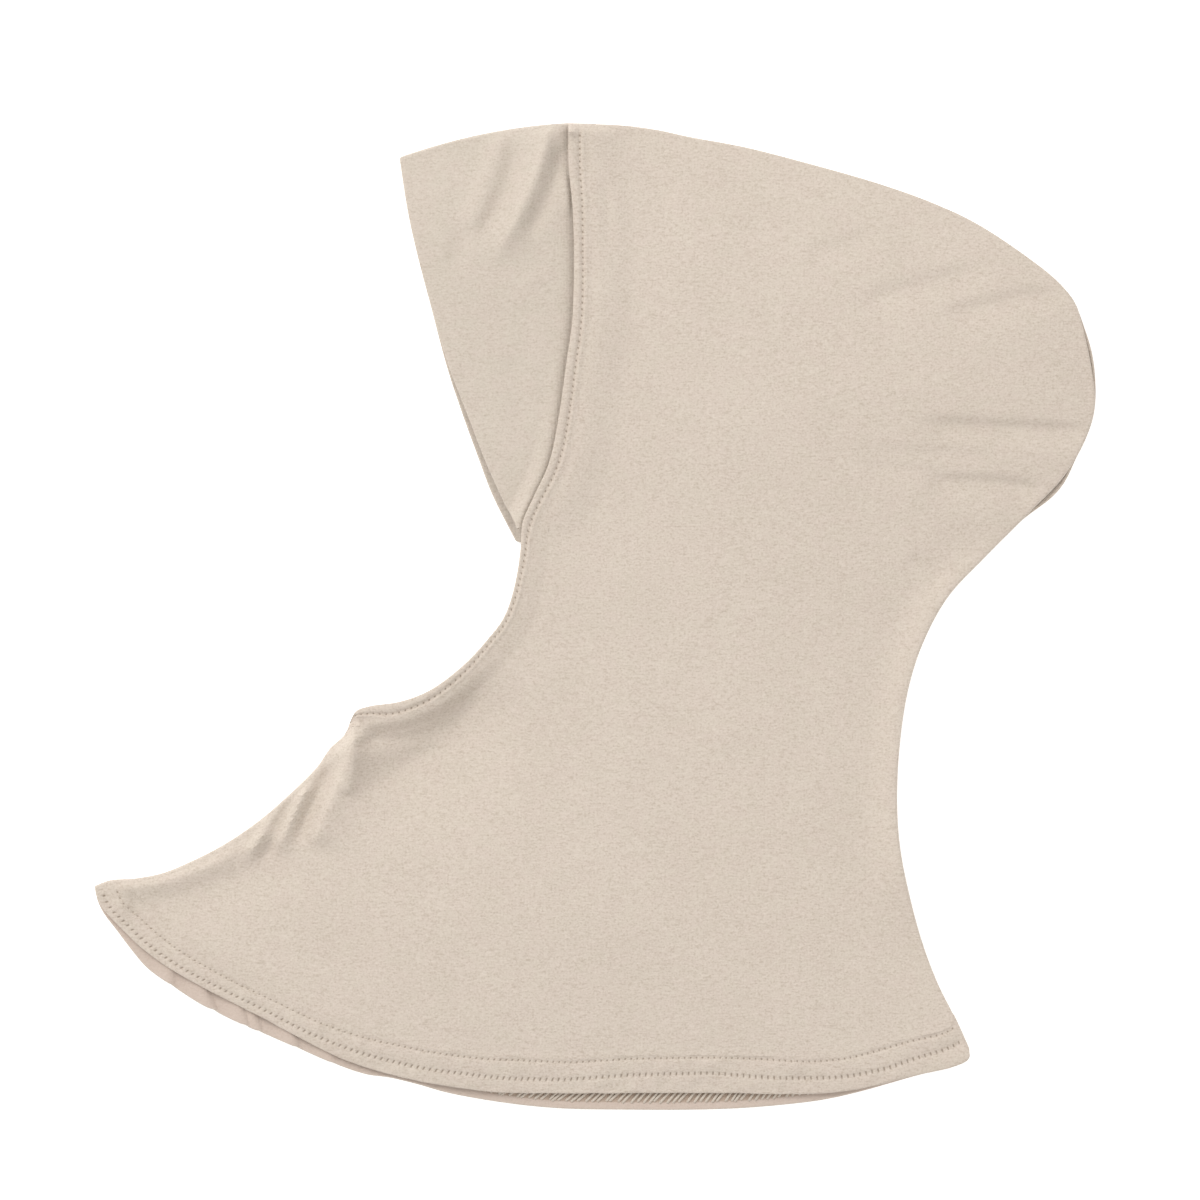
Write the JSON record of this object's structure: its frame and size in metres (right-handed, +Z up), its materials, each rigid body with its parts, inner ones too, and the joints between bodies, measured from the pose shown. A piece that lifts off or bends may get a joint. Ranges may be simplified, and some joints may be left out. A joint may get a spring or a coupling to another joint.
{
  "type": "hijab underscarf cap",
  "caption": "Stretch jersey underscarf hood with a doubled forehead band, hemmed face opening and wide hemmed neck cape, lying folded flat.",
  "frame": {"origin": "on the table, at the middle of the floor that the folded cap covers", "axes": "+X towards the back of the head, +Y towards the crown, +Z up from the table to the cap's left side"},
  "size_m": [0.3816, 0.375, 0.0137],
  "materials": {
    "jersey": "fine beige stretch jersey, matt, one layer",
    "jersey_double": "the same jersey folded double, smooth folded front edge without stitches",
    "jersey_hem": "the same jersey turned and stitched in its own colour"
  },
  "bodies": {
    "root": {"left_panel": "jersey", "right_panel": "jersey", "forehead_band": "jersey_double", "face_hem": "jersey_hem", "neck_hem": "jersey_hem"}
  },
  "joints": []
}
